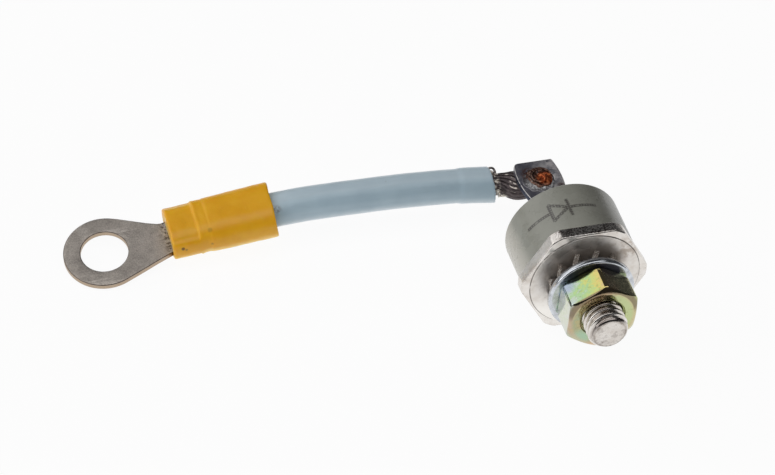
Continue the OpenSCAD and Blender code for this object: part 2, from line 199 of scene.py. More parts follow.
class Finish:
    """A material whose nodes are made by one method."""

    def __init__(self, name, material=None):
        self.material = material or bpy.data.materials.new(name)
        self.material.use_nodes = True
        self.tree = self.material.node_tree
        self.tree.nodes.clear()
        self.places, self.colour, self.relief = {}, None, None

    def node(self, kind, settings=None, sockets=None, output=0):
        made = self.tree.nodes.new(kind)
        for name, value in (settings or {}).items():
            if name == "stops":
                self.set_stops(made.color_ramp, value)
            else:
                setattr(made, name, value)
        for key, value in (sockets or {}).items():
            if isinstance(value, Value):
                self.tree.links.new(value.socket, made.inputs[key])
            else:
                made.inputs[key].default_value = value
        return Value(self, made.outputs[output]) if made.outputs else None

    def set_stops(self, ramp, stops):
        while len(ramp.elements) < len(stops):
            ramp.elements.new(1.0)
        for element, (position, colour) in zip(ramp.elements, stops):
            element.position, element.color = position, colour

    def place(self, stretch=(1, 1, 1)):
        """The surface point in millimetres, in the part's own frame."""
        if stretch not in self.places:
            point = self.node("ShaderNodeTexCoord", output="Object")
            factors = tuple(s / MM for s in stretch)
            self.places[stretch] = self.vector("MULTIPLY", point, factors, "Vector")
        return self.places[stretch]

    def vector(self, operation, first, second, output="Value"):
        return self.node("ShaderNodeVectorMath", {"operation": operation}, {0: first, 1: second}, output)

    def axes(self):
        """The surface point's x, y and z."""
        split = self.node("ShaderNodeSeparateXYZ", None, {0: self.place()}).socket.node
        return [Value(self, output) for output in split.outputs]

    def cloud(self, size, detail=3.0, rough=0.55, stretch=(1, 1, 1), warp=0.0):
        """Noise from 0 to 1, in patches about size millimetres across."""
        sockets = {"Vector": self.place(stretch), "Scale": 1 / size, "Detail": detail}
        return self.node("ShaderNodeTexNoise", None, {**sockets, "Roughness": rough, "Distortion": warp})

    def cells(self, size):
        """Distance to the nearest of many scattered points, about size millimetres apart."""
        return self.node("ShaderNodeTexVoronoi", None, {"Vector": self.place(), "Scale": 1 / size}, "Distance")

    def facing(self, direction):
        """How much the surface faces along a direction, from -1 to 1."""
        return self.vector("DOT_PRODUCT", self.node("ShaderNodeTexCoord", output="Normal"), tuple(direction))

    def measure(self, direction, origin):
        """Distance of the surface point from an origin, along a direction."""
        return self.vector("DOT_PRODUCT", self.place(), tuple(direction)) - float(np.dot(direction, origin))

    def near(self, point, full, reach):
        """1 within full millimetres of a point, fading to 0 at reach."""
        return self.vector("DISTANCE", self.place(), point).step(reach, full)

    def ramp(self, value, *stops):
        """A run of screen colours, each at its own value."""
        stops = [(position, srgb(*colour)) for position, colour in stops]
        return self.node("ShaderNodeValToRGB", {"stops": stops}, {"Fac": value})

    def blend(self, share, first, second):
        return self.node("ShaderNodeMix", {"data_type": "RGBA"}, {0: share, 6: first, 7: second}, 2)

    def tint(self, share, *colour):
        """Lay a screen colour over the colour so far, by a share from 0 to 1."""
        self.colour = self.blend(share, self.colour, srgb(*colour))

    def bump(self, height, depth):
        """Add relief of the given depth in millimetres to the relief so far."""
        sockets = {"Height": height, "Distance": depth * MM, "Strength": 1.0}
        if self.relief:
            sockets["Normal"] = self.relief
        self.relief = self.node("ShaderNodeBump", None, sockets, "Normal")

    def surface(self, **sockets):
        """Join colour, relief and the named sockets in one shader, and return the material."""
        named = {name.replace("_", " "): value for name, value in sockets.items()}
        named.update({"Base Color": self.colour, "Normal": self.relief})
        shader = self.node("ShaderNodeBsdfPrincipled", None, named)
        self.node("ShaderNodeOutputMaterial", None, {"Surface": shader})
        return self.material


def srgb(red, green, blue):
    """A colour as it is read off a screen, turned into the linear one that shaders use."""
    return tuple(((c / 255 + 0.055) / 1.055) ** 2.4 if c > 10 else c / 3294.6 for c in (red, green, blue)) + (1.0,)


# %% Floor and room finishes
glow_share, room_level = 0.94, 0.06
sheet = Finish("white_sheet")
lit = sheet.node("ShaderNodeEmission", None, {"Color": (1, 1, 1, 1), "Strength": 1.0})
plain = sheet.node("ShaderNodeBsdfDiffuse", None, {"Color": (0.90, 0.90, 0.90, 1)})
mixed = sheet.node("ShaderNodeMixShader", None, {0: glow_share, 1: plain, 2: lit})
sheet.node("ShaderNodeOutputMaterial", None, {"Surface": mixed})
floor.data.materials.append(sheet.material)

room = Finish("room", scene.world)
dim = room.node("ShaderNodeBackground", None, {"Color": (0.80, 0.82, 0.86, 1), "Strength": room_level})
white = room.node("ShaderNodeBackground", None, {"Color": (1, 1, 1, 1), "Strength": 1.0})
seen = room.node("ShaderNodeLightPath", output="Is Camera Ray")
backdrop = room.node("ShaderNodeMixShader", None, {0: seen, 1: dim, 2: white})
room.node("ShaderNodeOutputWorld", None, {"Surface": backdrop})

# %% [markdown]
# ## Making meshes from grids
# Most pieces here are rings of points: a turned part is one profile at many angles, and a tube is one section at
# many places along a line. Both are a grid of points, so one function that closes a grid into quads makes them
# all. Rows that lie close together on both sides of an edge give it a small rounding, and weighted normals keep the
# broad faces beside it flat.


# %% Pieces from grids
def finish_piece(name, mesh, material, nodes=()):
    mesh.materials.append(material)
    mesh.polygons.foreach_set("use_smooth", [True] * len(mesh.polygons))
    piece = bpy.data.objects.new(name, mesh)
    scene.collection.objects.link(piece)
    piece.modifiers.new("flat_faces", "WEIGHTED_NORMAL").weight = 100
    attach(piece, "root")
    if nodes:
        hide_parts(*nodes)
    print(f"{name}: {len(mesh.vertices)} points, {len(mesh.polygons)} faces")
    return piece


def grid_mesh(name, grids, wrap=False):
    """Each grid is rows x columns x 3, in millimetres. Columns go round, and rows go round too if wrap is set."""
    build = bmesh.new()
    for grid in grids:
        rows, columns = len(grid), len(grid[0])
        points = [[build.verts.new(Vector(p) * MM) for p in row] for row in grid]
        for i in range(rows if wrap else rows - 1):
            here, there = points[i], points[(i + 1) % rows]
            for j in range(columns):
                k = (j + 1) % columns
                build.faces.new((here[j], here[k], there[k], there[j]))
        if not wrap:
            build.faces.new(points[0][::-1])
            build.faces.new(points[-1])
    bmesh.ops.remove_doubles(build, verts=build.verts, dist=1e-8)
    bmesh.ops.recalc_face_normals(build, faces=build.faces)
    mesh = bpy.data.meshes.new(name)
    build.to_mesh(mesh)
    build.free()
    return mesh


def grid_piece(name, grids, material, nodes=(), wrap=False):
    return finish_piece(name, grid_mesh(name, grids, wrap), material, nodes)


def around(count):
    """Angles of one full turn, evenly spaced."""
    return np.linspace(0, 2 * math.pi, count, endpoint=False)


def turned_grid(rows, angles):
    """Rows of (radius, y), turned about the stud's axis. Both may change with the angle."""
    cos, sin = np.cos(angles), np.sin(angles)
    return [np.stack(np.broadcast_arrays(radius * cos, y, radius * sin), axis=1) for radius, y in rows]


@np.vectorize
def wobble(x, y, z=0.0):
    """Smooth noise from -1 to 1, at one point or at each of an array of points."""
    return noise.noise(Vector((x, y, z)))


def smooth(x, low, high):
    t = np.clip((x - low) / (high - low), 0, 1)
    return t * t * (3 - 2 * t)


def dress(node_name, material):
    """Give a finish to a CAD mesh that stays as it is."""
    materials = frame["nodes"][node_name].data.materials
    materials.clear()
    materials.append(material)


# %% [markdown]
# ## The lead's line
# The lead leaves the ring terminal's barrel, runs in a shallow arch and ends bare at the tab. Its line repeats the
# points of the CAD part, and a spline through them takes out the corners. The ring terminal lies tilted, so its
# own axes are worked out once, and `lug_at` turns a place on the terminal into a place on the table.

# %% Ring terminal's axes and the lead's route
ring_r, ring_hole_r, plate_t, tongue_l, sleeve_l, barrel_rise = 5.95, 3.45, 0.95, 9.75, 15.4, 1.0
tilt_x, tilt_y = math.radians(11), math.radians(-6.5)
lug_turn = Matrix.Rotation(tilt_y, 3, "Y") @ Matrix.Rotation(tilt_x, 3, "X")
upright = math.cos(tilt_x) * math.cos(tilt_y)
lug_z = -8.5 + ring_r * math.sqrt(1 - upright**2) + plate_t / 2 * upright
lug_centre = Vector((-63.5, 27.05, lug_z))


def lug_at(s, q=0.0, n=0.0):
    return np.array(lug_centre + lug_turn @ Vector((s, q, n)))


lead_points = [(-34, 26.7, -2.5), (-30, 26.4, -2.2), (-26, 26.1, -2.0), (-22, 25.9, -1.9), (-18, 25.7, -1.9)]
lead_points += [(-14, 25.5, -2.0), (-10, 25.3, -2.2), (-6.1, 25.0, -2.5)]
hook_points = [(-4.7, 24.75, -2.35), (-3.2, 24.1, -2.3), (-1.9, 23.2, -2.0), (-0.8, 22.3, -1.1), (0.0, 21.7, 0.0)]
hook_points += [(0.1, 21.6, 0.45)]


def spline(points, spacing=0.35):
    """A smooth line through the points, as points about spacing millimetres apart."""
    p = [np.array(x, float) for x in points]
    p = [2 * p[0] - p[1], *p, 2 * p[-1] - p[-2]]
    line = []
    for a, b, c, d in zip(p, p[1:], p[2:], p[3:]):
        for t in np.linspace(0, 1, max(2, int(np.linalg.norm(c - b) / spacing)), endpoint=False):
            bend, twist = 2 * a - 5 * b + 4 * c - d, 3 * b - a - 3 * c + d
            line.append(0.5 * (2 * b + (c - a) * t + bend * t**2 + twist * t**3))
    return np.array([*line, p[-2]])


def frames_along(line, ups):
    """Across and up at each point of a line. ups is one direction, or one for each point."""
    along = np.gradient(line, axis=0)
    along /= np.linalg.norm(along, axis=1)[:, None]
    side = np.cross(ups, along)
    side /= np.linalg.norm(side, axis=1)[:, None]
    return side, np.cross(along, side)


def travelled(line):
    return np.concatenate([[0], np.cumsum(np.linalg.norm(np.diff(line, axis=0), axis=1))])


lug_up = np.array(lug_turn @ Vector((0, 0, 1)))
insulated_line = spline([lug_at(s, 0, barrel_rise) for s in (17.9, 20.5, 23.0, 25.15)] + lead_points)
insulated_length = travelled(insulated_line)[-1]
print(f"insulated lead {insulated_length:.1f} mm long")

# %% [markdown]
# ## The insulation
# Extruded plastic is never quite even: it has soft lengthwise ripples, scuffs and a few dark specks. It is flattened
# where the crimp sleeve grips it. Stripping it with heat left the last five millimetres a little thicker, with a
# step where the thick part starts and a ragged cut end, which runs aslant.


# %% Insulation
def insulation_finish():
    f = Finish("lead_insulation")
    soft = f.cloud(4.0, 2.0)
    streaks = f.cloud(0.9, 3.0, 0.6, stretch=(0.12, 1, 1))
    f.colour = f.blend(soft.step(0.3, 0.7), srgb(168, 190, 203), srgb(176, 198, 210))
    f.tint(streaks.step(0.55, 0.8) * 0.35, 152, 172, 184)
    specks = f.cells(1.9).step(0.10, 0.05) * f.cloud(5.0, 1.0).step(0.56, 0.60)
    f.tint(specks * 0.5, 112, 112, 108)
    smear = f.near((-38.7, 25.0, -1.3), 0.2, 1.1) * f.cloud(0.5).step(0.35, 0.6)
    smear += f.near((-10.17, 23.54, -3.97), 0.15, 0.35) + 0.5 * f.near((-11.04, 26.21, 0.21), 0.12, 0.3)
    f.tint(smear * 0.7, 92, 82, 86)
    # Painted light: the insulation is lightened where it faces down towards the table and where it faces up.
    painted_light_facing = f.facing((0, 0.4, 0.92))
    f.tint(0.5 * painted_light_facing.step(-0.35, -0.85) + 0.3 * painted_light_facing.step(0.55, 0.8), 212, 222, 228)
    f.bump(f.cloud(0.35), 0.010)
    f.bump(f.cloud(2.2, 2.0, stretch=(0.3, 1, 1)), 0.05)
    roughness = 0.24 + 0.16 * streaks
    return f.surface(Roughness=roughness, Specular_IOR_Level=0.5, Sheen_Weight=0.25, Sheen_Roughness=0.4)


def insulation_grids():
    columns = around(56)
    side, up = frames_along(insulated_line, lug_up)
    run = travelled(insulated_line)
    left = insulated_length - run
    grip = smooth(run, 6.6, 10.5)
    round_r, flat_wide, flat_tall, core_share, slant_reach = 2.52, 2.72, 2.09, 0.68, 2.5
    wide, tall = flat_wide + (round_r - flat_wide) * grip, flat_tall + (round_r - flat_tall) * grip
    swell = 0.13 * (1 - smooth(left, 4.8, 5.3)) + 0.03 * (1 - smooth(left, 0.0, slant_reach))
    cos, sin = np.cos(columns), np.sin(columns)
    outer, inner = [], []
    for i, centre in enumerate(insulated_line):
        grown = swell[i] + 0.035 * wobble(run[i] * 0.22, cos * 1.3, sin * 1.3 + 7)
        reach = np.outer(cos * (wide[i] + grown), side[i]) + np.outer(sin * (tall[i] + grown), up[i])
        outer.append(centre + reach)
        inner.append(centre + reach * core_share)
    along = insulated_line[-1] - insulated_line[-2]
    along /= np.linalg.norm(along)
    slant = -0.26 - 0.46 * np.cos(columns - 0.84)
    for i in np.flatnonzero(left < slant_reach):
        shift = along * (slant * (1 - left[i] / slant_reach))[:, None]
        outer[i], inner[i] = outer[i] + shift, inner[i] + shift
    ragged = 0.16 * wobble(3 * cos, 3 * sin, 2.0)[:, None]
    middle = 0.5 * outer[-1] + 0.5 * inner[-1]
    end = [outer[-1] + along * ragged * 0.6, 0.94 * outer[-1] + 0.06 * inner[-1] + along * (0.10 + ragged)]
    end += [middle + along * (0.12 + ragged), 0.9 * inner[-1] + 0.1 * middle + along * (0.08 + ragged)]
    return [outer[:-1] + end + inner[::-1]]


insulation = grid_piece(
    "insulation", insulation_grids(), insulation_finish(), ["lead_insulation"], wrap=True
)

# %% [markdown]
# ## The strands
# The conductor is a bunch of fine copper wires, twisted together, tarnished brown and half drowned in solder. It
# narrows just outside the insulation, spreads under the tab and turns up through the tab's hole. Each strand is its
# own thin tube that keeps its place in the bunch, so the highlights break up as they do on real wire.


# %% Strands
def strand_finish():
    f = Finish("tarnished_strands")
    tone = f.cloud(0.9, 4.0, 0.6)
    f.colour = f.ramp(tone, (0.25, (56, 50, 52)), (0.5, (78, 70, 71)), (0.72, (104, 95, 94)))
    x = f.axes()[0]
    # Painted highlights: bright dashes on the strands' crests where they bend down under the tab. frayed adds the
    # bright bits beside the cut insulation.
    crest = f.facing((-0.15, -0.39, 0.91)).step(0.935, 0.975)
    bend = 0.85 * crest * abs(x + 3.7).step(0.55, 0.30) * f.cloud(0.6, 1.0).step(0.36, 0.50)
    frayed = x.step(-5.1, -5.6) * f.cloud(0.45, 2.0, stretch=(0.5, 1, 1)).step(0.46, 0.60)
    f.tint((bend + frayed) * 0.8, 236, 226, 216)
    f.bump(f.cloud(0.14, 3.0, stretch=(0.3, 1, 1)), 0.03)
    return f.surface(Metallic=0.85, Roughness=0.26 + 0.25 * tone)


def bunch_places():
    """Places of the strands in a bunch of radius 1, as rings of 1, 6 and 15."""
    places = [(0.0, 0.0)]
    for ring, count in ((0.42, 6), (0.80, 15)):
        places += [(ring * math.cos(a), ring * math.sin(a)) for a in around(count)]
    return places


def tube_grid(line, ups, radius, columns=8):
    side, up = frames_along(line, ups)
    radius = np.broadcast_to(radius, len(line))
    cos, sin = np.cos(around(columns)), np.sin(around(columns))
    return [p + r * (np.outer(cos, q) + np.outer(sin, n)) for p, r, q, n in zip(line, radius, side, up)]


bared_line = spline(lead_points[-2:] + hook_points, 0.3)


def strand_grids():
    run = travelled(bared_line)
    share = run / run[-1]
    ups = np.outer(1 - share, (0, 0, 1.0)) + np.outer(share, (-0.6, 0.4, 0.7))
    side, up = frames_along(bared_line, ups)
    places = [0, 4.0, 5.0, 5.8, 6.8, 7.8, 9.2, 10.2, run[-1]]
    wide = np.interp(run, places, [1.60, 1.60, 1.52, 1.66, 2.20, 2.34, 2.05, 1.70, 1.50])
    tall = np.interp(run, places, [1.60, 1.60, 1.45, 1.50, 1.68, 1.72, 1.60, 1.55, 1.50])
    twist = math.radians(4) * run
    grids = []
    for number, (a, b) in enumerate(bunch_places()):
        stray = [0.025 * wobble(run * 0.55, number * 3.1, layer) for layer in (0, 9)]
        u = (a * np.cos(twist) - b * np.sin(twist) + stray[0]) * wide
        v = (a * np.sin(twist) + b * np.cos(twist) + stray[1]) * tall
        line = bared_line + side * u[:, None] + up * v[:, None]
        grids.append(tube_grid(line, ups, 0.43 * (wide + tall) / 3.2, 10))
    return grids


def stray_grids():
    """Three thin strands that spring out of the bunch beside the cut insulation."""
    loops = [
        [
            (-7.2, 26.1, -1.3), (-6.5, 26.5, -0.72), (-5.95, 26.5, -0.56), (-5.6, 26.35, -0.6), (-5.4, 25.9, -1.0),
            (-5.5, 25.4, -1.6),
        ],
        [(-6.6, 24.6, -1.0), (-5.8, 24.3, -0.95), (-5.1, 24.2, -1.1), (-4.3, 24.1, -1.3)],
        [(-6.8, 25.7, -1.0), (-6.2, 25.75, -0.55), (-5.7, 25.4, -0.75), (-5.2, 25.0, -1.1), (-4.6, 24.9, -1.3)],
    ]
    lines = [spline(loop, 0.15) for loop in loops]
    return [tube_grid(line, (0.1, 0.2, 1.0), 0.17) for line in lines]


strands = grid_piece("strands", strand_grids() + stray_grids(), strand_finish(), ["lead_conductor"])

# %% [markdown]
# ## Solder and cut ends at the tab
# The strands come up through the hole, where they were cut off short, so clean copper shows. Solder fills the hole
# round them and lies in a rough skin on the tab, which reaches furthest at the lower left. It is a disc of points
# whose height is a low dome plus noise, and a few drops of the same solder sit on the strands beside the insulation.


# %% Solder
tab_top, tab_hole_y, tab_hole_r = 0.5, 21.6, 2.1


def solder_finish():
    f = Finish("rough_solder")
    tone = f.cloud(0.42, 4.0, 0.65)
    f.colour = f.ramp(tone, (0.34, (114, 110, 112)), (0.48, (180, 179, 181)), (0.60, (246, 246, 246)))
    x, y, z = f.axes()
    brown = (y - 0.4 * x).step(21.2, 22.4)
    f.tint(0.75 * brown, 86, 79, 82)
    right, up = x + 0.15, y - 21.2
    rim = (right * right + up * up + 3.0 * (f.cloud(0.6) - 0.5)).step(3.6, 6.0) * z.step(0.2, 0.4)
    f.tint(0.85 * rim, 104, 102, 108)
    crust = f.near((-1.3, 22.7, 0.6), 0.7, 1.6) * f.cloud(0.45, 4.0, 0.65).step(0.42, 0.54)
    f.tint(crust * 0.9, 96, 56, 42)
    drop = x.step(-4.0, -4.3)
    f.tint(drop * tone.step(0.3, 0.45), 240, 232, 220)
    f.bump(f.cloud(0.22, 4.0, 0.65), 0.05)
    return f.surface(Metallic=0.9 - 0.6 * drop, Roughness=0.32 + 0.25 * f.cloud(0.4))


def pool_grid():
    """The skin of solder on the tab, from its rim in to its middle, closed below inside the hole."""
    angles = around(72)
    cos, sin = np.cos(angles), np.sin(angles)
    rim = 2.40 + 0.25 * np.cos(angles - math.radians(225)) + 0.35 * wobble(2.2 * cos, 2.2 * sin, 4)
    film, sunk = 0.002, 0.52
    grid = []
    for level, part in enumerate([1.0, 1.0] + [1 - 0.055 * k for k in range(1, 18)]):
        x, y = part * rim * cos - 0.15, part * rim * sin + 21.25
        height = np.full(len(angles), tab_top + film)
        if level > 1:
            dome = 0.05 + 0.12 * smooth(1 - part, 0.0, 0.5)
            rough = 0.08 * wobble(x * 1.7, y * 1.7, 1) + 0.05 * wobble(x * 4, y * 4, 5)
            height = np.maximum(height, tab_top + dome + rough)
        grid.append(np.stack([x, y, height - (sunk if level == 0 else 0)], axis=1))
    return grid


def drop_grid(centre, size, seed):
    """A small lump of solder: a ball with noise on it."""
    grid = []
    for tilt in np.linspace(-1.5, 1.5, 9):
        out, up = math.cos(tilt), math.sin(tilt)
        ball = np.array([(math.cos(a) * out, math.sin(a) * out, up) for a in around(14)])
        lumps = 1 + 0.5 * wobble(*(ball * 1.4 + seed).T)
        grid.append(np.array(centre) + ball * np.array(size) * lumps[:, None])
    return grid


drops = [
    ((-6.1, 25.4, -0.5), (0.17, 0.20, 0.17)), ((-5.8, 24.15, -1.2), (0.22, 0.24, 0.22)),
    ((-5.62, 23.35, -2.45), (0.28, 0.22, 0.40)), ((-5.5, 23.0, -2.95), (0.25, 0.20, 0.35)),
    ((-4.95, 22.85, -3.0), (0.45, 0.20, 0.20)), ((-4.3, 22.75, -3.0), (0.40, 0.20, 0.18)),
    ((-5.75, 24.9, -0.95), (0.15, 0.20, 0.15)), ((-5.2, 25.4, -1.0), (0.15, 0.15, 0.15)),
]
solder_grids = [pool_grid()] + [drop_grid(place, size, 3.7 * i) for i, (place, size) in enumerate(drops)]
grid_piece("solder", solder_grids, solder_finish(), ["tab_solder"])


# %% Cut copper ends
def cut_copper_finish():
    f = Finish("cut_copper")
    tone = f.cloud(0.35)
    clean = f.ramp(tone, (0.3, (96, 42, 26)), (0.5, (168, 82, 46)), (0.68, (232, 146, 94)))
    burnt = f.ramp(tone, (0.35, (52, 36, 34)), (0.55, (104, 76, 64)), (0.72, (170, 158, 150)))
    f.colour = f.blend(f.near((0.65, 21.2, 0.8), 1.0, 1.6), burnt, clean)
    f.bump(f.cloud(0.12), 0.03)
    return f.surface(Metallic=0.9, Roughness=0.28 + 0.2 * tone)


def torn_grid():
    """The lumpy top of the cut bunch, a low bowl."""
    cos, sin = np.cos(around(48)), np.sin(around(48))
    grid = []
    for part, drop in [(1.0, -0.5)] + [(1 - 0.07 * k, 0.0) for k in range(15)]:
        reach = part * (1.92 + 0.45 * wobble(1.8 * cos, 1.8 * sin, 8))
        x, y = reach * cos, tab_hole_y + 1.04 * reach * sin
        bowl = 0.72 + 0.16 * part - 0.2 * smooth(part, 0.85, 1.0) + 0.16 * wobble(x * 2.4, y * 2.4, 6)
        grid.append(np.stack([x, y, bowl + drop], axis=1))
    return grid


def cut_end_grids():
    """Strands that were bent over and cut: short arcs that lie round the bowl at different heights."""
    ends, samples, golden_angle, golden_share = 24, 12, 2.39996, 0.618
    grids = [torn_grid()]
    for k in range(ends):
        swing, radius = k * golden_angle, 0.35 + 1.45 * ((k * golden_share) % 1)
        arc = swing + np.radians(np.linspace(0, 60 + 90 * ((k * 0.37) % 1), samples))
        height = 0.80 + 0.08 * radius + 0.16 * wobble(k * 1.3, 2.2)
        x = 0.1 + radius * np.cos(arc) + 0.1 * wobble(k * 2.1, 7.7)
        y = 21.5 + 1.06 * radius * np.sin(arc) + 0.1 * wobble(k * 1.7, 3.1)
        z = height - 0.4 * smooth(np.abs(np.linspace(-1, 1, samples)), 0.35, 1.0)
        thickness = 0.14 + 0.03 * wobble(k * 3.3, 1.0)
        grids.append(tube_grid(np.stack([x, y, z], axis=1), (0.0, 0.0, 1.0), thickness))
    return grids


cut_ends = grid_piece("cut_ends", cut_end_grids(), cut_copper_finish())

# %% [markdown]
# ## Plates: the tab and the ring
# Both are stamped from sheet, so each is an outline with a hole, a thickness and edges that the punch rounded over. A
# filled two-dimensional curve does just that: its extrude is the thickness, its bevel the rounded edge, and a
# second closed spline inside the first becomes the hole.


# %% Plates from outlines
def plate_mesh(name, outlines, thickness, edge, place=None):
    curve = bpy.data.curves.new(name, "CURVE")
    curve.dimensions, curve.fill_mode = "2D", "BOTH"
    curve.extrude, curve.bevel_depth, curve.bevel_resolution = thickness / 2 - edge, edge, 3
    curve.offset = -edge
    for outline in outlines:
        line = curve.splines.new("POLY")
        line.points.add(len(outline) - 1)
        for point, (x, y) in zip(line.points, outline):
            point.co = (x, y, 0, 1)
        line.use_cyclic_u = True
    shape = bpy.data.objects.new(name, curve)
    scene.collection.objects.link(shape)
    bpy.context.view_layer.update()
    mesh = bpy.data.meshes.new_from_object(shape.evaluated_get(bpy.context.evaluated_depsgraph_get()))
    bpy.data.objects.remove(shape)
    mesh.transform(Matrix.Scale(MM, 4) @ (place or Matrix.Identity(4)))
    build = bmesh.new()
    build.from_mesh(mesh)
    bmesh.ops.remove_doubles(build, verts=build.verts, dist=2e-6)
    bmesh.ops.recalc_face_normals(build, faces=build.faces)
    build.to_mesh(mesh)
    build.free()
    return mesh


def arc_points(x, y, radius, start, stop, count):
    angles = np.radians(np.linspace(start, stop, count))
    return [(x + radius * math.cos(a), y + radius * math.sin(a)) for a in angles]


# %% [markdown]
# ## The terminal tab
# The tab is tinned copper that has gone dark and blotchy. Painted shade makes its left half and its side walls a
# darker, bluish grey, and painted light brightens blotches on its right half and the rounding of its top edges. Its
# sides bow outward, the end is straight, and its corners are worn, the left one more.


# %% Terminal tab
def tab_finish():
    f = Finish("dark_tinned_tab")
    tone = f.cloud(0.9, 5.0, 0.65)
    f.colour = f.ramp(tone, (0.30, (112, 112, 120)), (0.48, (160, 159, 164)), (0.66, (204, 201, 202)))
    scuffs = f.cloud(0.35, 3.0, 0.6, stretch=(1, 0.25, 1)).step(0.60, 0.72)
    f.tint(scuffs * 0.45, 176, 174, 170)
    x, y, _ = f.axes()
    # Painted shade on the left half and painted light in blotches on the right half.
    f.tint(0.75 * x.step(1.6, -1.6), 80, 80, 94)
    f.tint(0.5 * x.step(0.8, 2.4) * tone.step(0.35, 0.6), 226, 220, 220)
    burnt = f.near((-1.2, 23.0, 0.5), 0.7, 1.7) + f.near((2.7, 19.5, 0.5), 0.2, 1.0)
    f.tint(burnt * f.cloud(0.45, 4.0, 0.65).step(0.44, 0.54) * 0.85, 84, 54, 46)
    level = abs(f.facing((0, 0, 1)))
    # Painted shade: the tab's side walls, which face sideways, are darkened to a bluish grey over most of their length.
    f.tint(level.step(0.5, 0.2) * y.step(24.5, 22.0), 62, 66, 82)
    # Painted highlight: bright broken patches on the rounding of the top edges, where the edges catch the floor's
    # light.
    worn = level.step(0.98, 0.85) * level.step(0.25, 0.5) * f.cloud(0.9).step(0.3, 0.5)
    f.tint(worn * 0.8, 226, 222, 218)
    f.bump(f.cloud(0.4, 4.0), 0.02)
    return f.surface(Metallic=0.9, Roughness=0.46 + 0.18 * tone)


def tab_outline():
    foot_half, foot_y = 2.0, 9.0
    right = [(foot_half, foot_y), *arc_points(-13.57, tab_hole_y, 17.0, -23.6, 12.4, 40)]
    right += [(3.0, 25.38), (2.93, 25.46), (2.8, 25.5)]
    left = [(-foot_half, foot_y), *[(-x, y) for x, y in arc_points(-11.78, 22.0, 15.0, -30.0, 11.2, 40)]]
    left += [(-2.82, 25.1), (-2.70, 25.3), (-2.52, 25.42), (-2.28, 25.48), (-1.95, 25.5)]
    return right + left[::-1]


tab_hole = arc_points(0, tab_hole_y, tab_hole_r, 0, 352.5, 48)
finish_piece(
    "tab", plate_mesh("tab", [tab_outline(), tab_hole], 2 * tab_top, 0.14), tab_finish(), ["terminal_tab"]
)

# %% [markdown]
# ## The ring terminal
# The ring and its tongue are one tinned plate, dull grey with fine pits and wiping marks, and brighter where the
# edges are rubbed. At the sleeve the plate folds up into the barrel, and the crimp left that fold rough, so it is a
# short loft from the flat tongue to the barrel's mouth, roughened with noise.


# %% Ring, tongue and barrel mouth
def tin_finish():
    f = Finish("dull_tin")
    tone = 0.35 * f.cloud(1.6) + 0.65 * f.cloud(0.16, 4.0, 0.7)
    f.colour = f.ramp(tone, (0.34, (148, 140, 134)), (0.5, (184, 176, 168)), (0.66, (212, 204, 196)))
    pits = f.cells(0.34).step(0.16, 0.04) * f.cloud(1.1, 2.0).step(0.45, 0.6)
    folded = f.measure(lug_turn @ Vector((1, 0, 0)), lug_centre).step(8.2, 9.3)
    torn = f.cloud(0.42, 4.0, 0.6)
    # Painted highlight and painted shade: bright and dark flecks on the rough fold follow the same noise as its bumps.
    f.tint(folded * torn.step(0.58, 0.68) * 0.7, 232, 226, 218)
    f.tint(folded * torn.step(0.52, 0.40) * 0.85, 78, 68, 60)
    level = abs(f.facing(lug_up))
    # Painted shade: a dark line on the rounding between the plate's faces and its edges.
    f.tint(level.step(0.985, 0.92) * level.step(0.25, 0.5) * 0.85, 80, 70, 62)
    f.tint(level.step(0.35, 0.15) * 0.8, 180, 157, 131)
    f.tint(pits * 0.5, 96, 90, 86)
    wiping = f.cloud(0.16, 3.0, 0.6, stretch=(0.2, 1, 1))
    f.bump(wiping, 0.012)
    f.bump(f.cloud(0.3, 4.0) - 0.6 * pits + 1.5 * folded * torn, 0.03)
    return f.surface(Metallic=1.0, Roughness=0.36 + 0.18 * wiping)


def ring_outline():
    outline = arc_points(0, 0, ring_r, 70, 290, 110)
    outline += [(3.6, -5.02), (5.0, -4.50), (7.0, -3.72), (tongue_l + 0.4, -2.62)]
    return outline + [(tongue_l + 0.4, 2.42), (8.4, 2.72), (7.0, 3.28), (5.6, 3.95), (4.3, 4.58), (3.1, 5.16)]


def barrel_mouth_grid():
    """The fold from the flat tongue up to the barrel, closed all round."""
    grid = []
    start, stop = 8.1, 11.0
    for s in np.linspace(start, stop, 14):
        half = 2.70 - 0.12 * (s - start)
        rise = 0.30 * smooth(s, 9.5, 10.4)
        ring = []
        for c in np.linspace(-1, 1, 17):
            crown = (1 - abs(c) ** 3.0) * rise + 0.22 * smooth(s, 8.9, 9.6) * smooth(c, 0.6, 0.95)
            rough = 0.14 * smooth(s, 8.5, 9.2) * wobble(s * 2.3, c * 5.0, 3)
            ring.append(lug_at(s, c * half, 0.43 + crown + rough))
        ring += [lug_at(s, c * half, 0.1) for c in (0.9, 0.3, -0.3, -0.9)]
        grid.append(np.array(ring))
    return grid


tin = tin_finish()
lug_place = Matrix.Translation(lug_centre) @ lug_turn.to_4x4()
ring_outlines = [ring_outline(), arc_points(0, 0, ring_hole_r, 0, 356.25, 96)]
ring = finish_piece(
    "ring", plate_mesh("ring", ring_outlines, plate_t, 0.16, lug_place), tin, ["ring_terminal"]
)


def racetrack(width, height):
    """A flat oval as (q, n, outward q, outward n), with points along the straight stretches too."""
    half, r, quarter_turn = (width - height) / 2, height / 2, 1.5708
    bow = [(math.cos(a), math.sin(a)) for a in np.linspace(-quarter_turn, quarter_turn, 27)]
    ring = [(half + r * dq, r * dn, dq, dn) for dq, dn in bow]
    ring += [(x, r, 0, 1) for x in np.linspace(half, -half, 12)[1:-1]]
    ring += [(-q, -n, -dq, -dn) for q, n, dq, dn in ring]
    return ring


